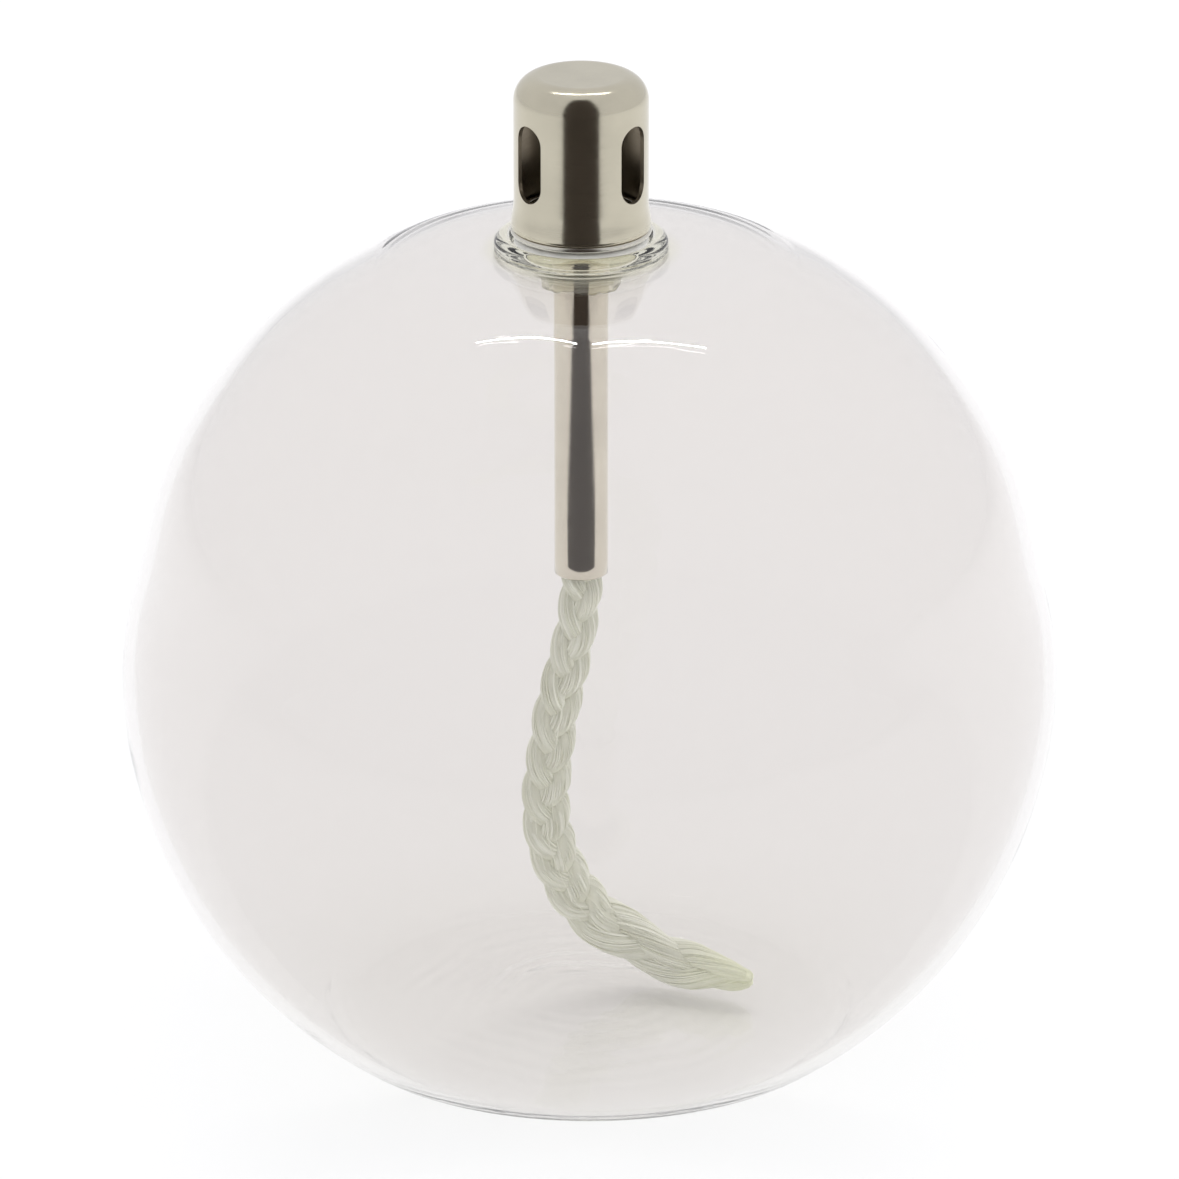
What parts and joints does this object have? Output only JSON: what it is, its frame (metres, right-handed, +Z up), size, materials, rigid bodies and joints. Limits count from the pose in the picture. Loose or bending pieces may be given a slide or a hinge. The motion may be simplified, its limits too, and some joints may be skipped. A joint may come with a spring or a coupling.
{
  "type": "alcohol burner",
  "caption": "Clear glass globe alcohol burner with a flat foot, a lift-out metal wick tube in its neck, a slotted metal cap and a braided fibre wick.",
  "frame": {"origin": "centre of the globe's foot, on the surface it stands on", "axes": "+Z up along the globe's axis; -Y is the front, so the wick's free end points to +X"},
  "size_m": [0.1196, 0.1196, 0.1287],
  "materials": {
    "glass": "clear, thin, fire-polished",
    "nickel": "bright nickel, drawn and lightly brushed",
    "steel": "plain turned",
    "silicone": "matt, milky",
    "glass_fibre": "three-strand glass-fibre braid, satin"
  },
  "bodies": {
    "globe": {"glass_globe": "glass"},
    "burner": {"neck_ring": "silicone", "burner_flange": "steel", "tube_collar": "steel", "wick_tube": "nickel"},
    "cap": {"slotted_cap": "nickel"},
    "wick": {"wick_core": "glass_fibre", "wick_tail": "glass_fibre"}
  },
  "joints": [
    {"name": "burner_lift", "type": "slide", "parent": "globe", "child": "burner", "axis": [0, 0, 1], "range_m": [0, 0.0455]},
    {"name": "cap_lift", "type": "slide", "parent": "burner", "child": "cap", "axis": [0, 0, 1], "range_m": [0, 0.025]},
    {"name": "wick_feed", "type": "slide", "parent": "burner", "child": "wick", "axis": [0, 0, 1], "range_m": [0, 0.003]}
  ]
}
